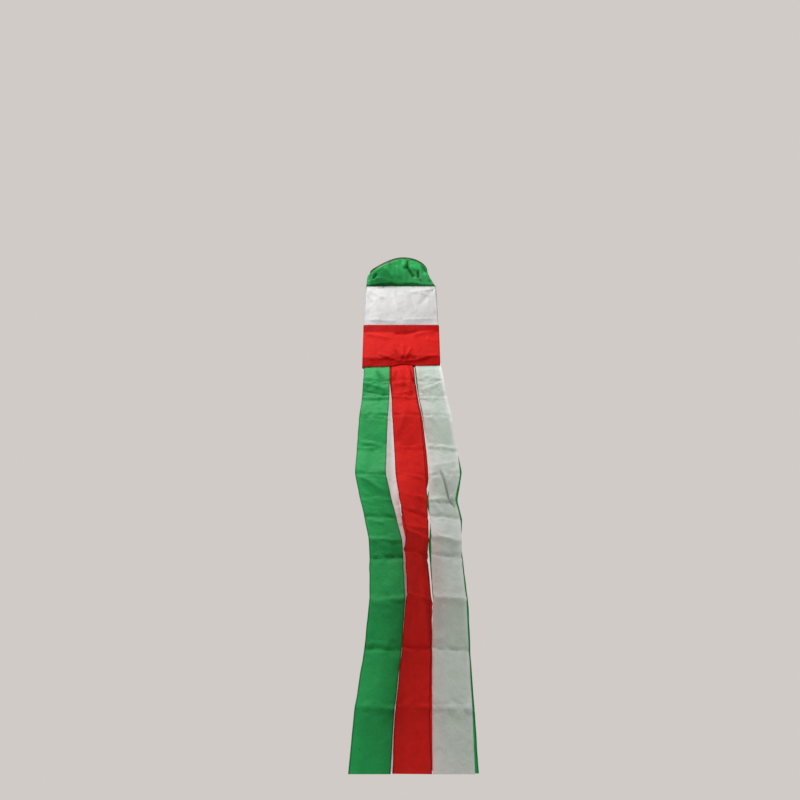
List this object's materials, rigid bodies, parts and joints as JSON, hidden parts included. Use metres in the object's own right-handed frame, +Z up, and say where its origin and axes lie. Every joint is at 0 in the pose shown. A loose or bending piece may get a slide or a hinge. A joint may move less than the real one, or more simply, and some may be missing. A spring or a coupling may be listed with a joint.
{
  "type": "decorative windsock",
  "caption": "Striped cloth windsock tube hanging from an oval wire hoop, in three bands, with ribbon streamers sewn round its tail; hung limp.",
  "frame": {"origin": "the tube's own axis at the mouth, level with the wire hoop, which is where the part is held up", "axes": "+Z up along the hanging tube, from the streamers to the hoop; +X to the right seen from the front; front, where the hoop is highest, is -Y"},
  "size_m": [0.282, 0.1443, 1.4709],
  "materials": {
    "cloth_green": "satin",
    "cloth_white": "satin",
    "cloth_red": "satin",
    "thread_green": "matte",
    "thread_white": "matte",
    "thread_red": "matte",
    "hoop_wire": "satin",
    "hoop_sleeve": "satin",
    "eyelet_metal": "polished"
  },
  "bodies": {
    "hoop": {"hoop_wire": "hoop_wire", "hoop_sleeve": "hoop_sleeve", "hoop_casing": "cloth_green", "thread_casing_upper": "thread_green", "thread_casing_lower": "thread_green", "eyelet_front": "eyelet_metal", "eyelet_front_washer": "eyelet_metal", "eyelet_left": "eyelet_metal", "eyelet_left_washer": "eyelet_metal", "eyelet_right": "eyelet_metal", "eyelet_right_washer": "eyelet_metal", "band_green": "cloth_green"},
    "middle": {"band_white": "cloth_white", "thread_upper_seam": "thread_white"},
    "tail": {"band_red": "cloth_red", "seam_fold": "cloth_red", "tail_hem": "cloth_red", "thread_lower_seam": "thread_red", "thread_tail": "thread_red"},
    "front_left_streamer": {"streamer_front_left_green": "cloth_green"},
    "front_middle_streamer": {"streamer_front_middle_red": "cloth_red"},
    "front_right_streamer": {"streamer_front_right_white": "cloth_white"},
    "back_left_streamer": {"streamer_back_left_white": "cloth_white"},
    "back_middle_streamer": {"streamer_back_middle_red": "cloth_red"},
    "back_right_streamer": {"streamer_back_right_green": "cloth_green"}
  },
  "joints": [
    {"name": "upper_seam_swing", "type": "hinge", "parent": "hoop", "child": "middle", "pos_m": [0, 0, -0.088], "axis": [1, 0, 0], "range_deg": [-80, 80]},
    {"name": "lower_seam_swing", "type": "hinge", "parent": "middle", "child": "tail", "pos_m": [0, 0, -0.268], "axis": [1, 0, 0], "range_deg": [-60, 60]},
    {"name": "front_left_streamer_swing", "type": "hinge", "parent": "tail", "child": "front_left_streamer", "pos_m": [0, -0.0062, -0.436], "axis": [-1, 0, 0], "range_deg": [0, 75]},
    {"name": "front_middle_streamer_swing", "type": "hinge", "parent": "tail", "child": "front_middle_streamer", "pos_m": [0, -0.0062, -0.436], "axis": [-1, 0, 0], "range_deg": [0, 75]},
    {"name": "front_right_streamer_swing", "type": "hinge", "parent": "tail", "child": "front_right_streamer", "pos_m": [0, -0.0062, -0.436], "axis": [-1, 0, 0], "range_deg": [0, 75]},
    {"name": "back_left_streamer_swing", "type": "hinge", "parent": "tail", "child": "back_left_streamer", "pos_m": [0, 0.0062, -0.436], "axis": [1, 0, 0], "range_deg": [0, 75]},
    {"name": "back_middle_streamer_swing", "type": "hinge", "parent": "tail", "child": "back_middle_streamer", "pos_m": [0, 0.0062, -0.436], "axis": [1, 0, 0], "range_deg": [0, 75]},
    {"name": "back_right_streamer_swing", "type": "hinge", "parent": "tail", "child": "back_right_streamer", "pos_m": [0, 0.0062, -0.436], "axis": [1, 0, 0], "range_deg": [0, 75]}
  ]
}
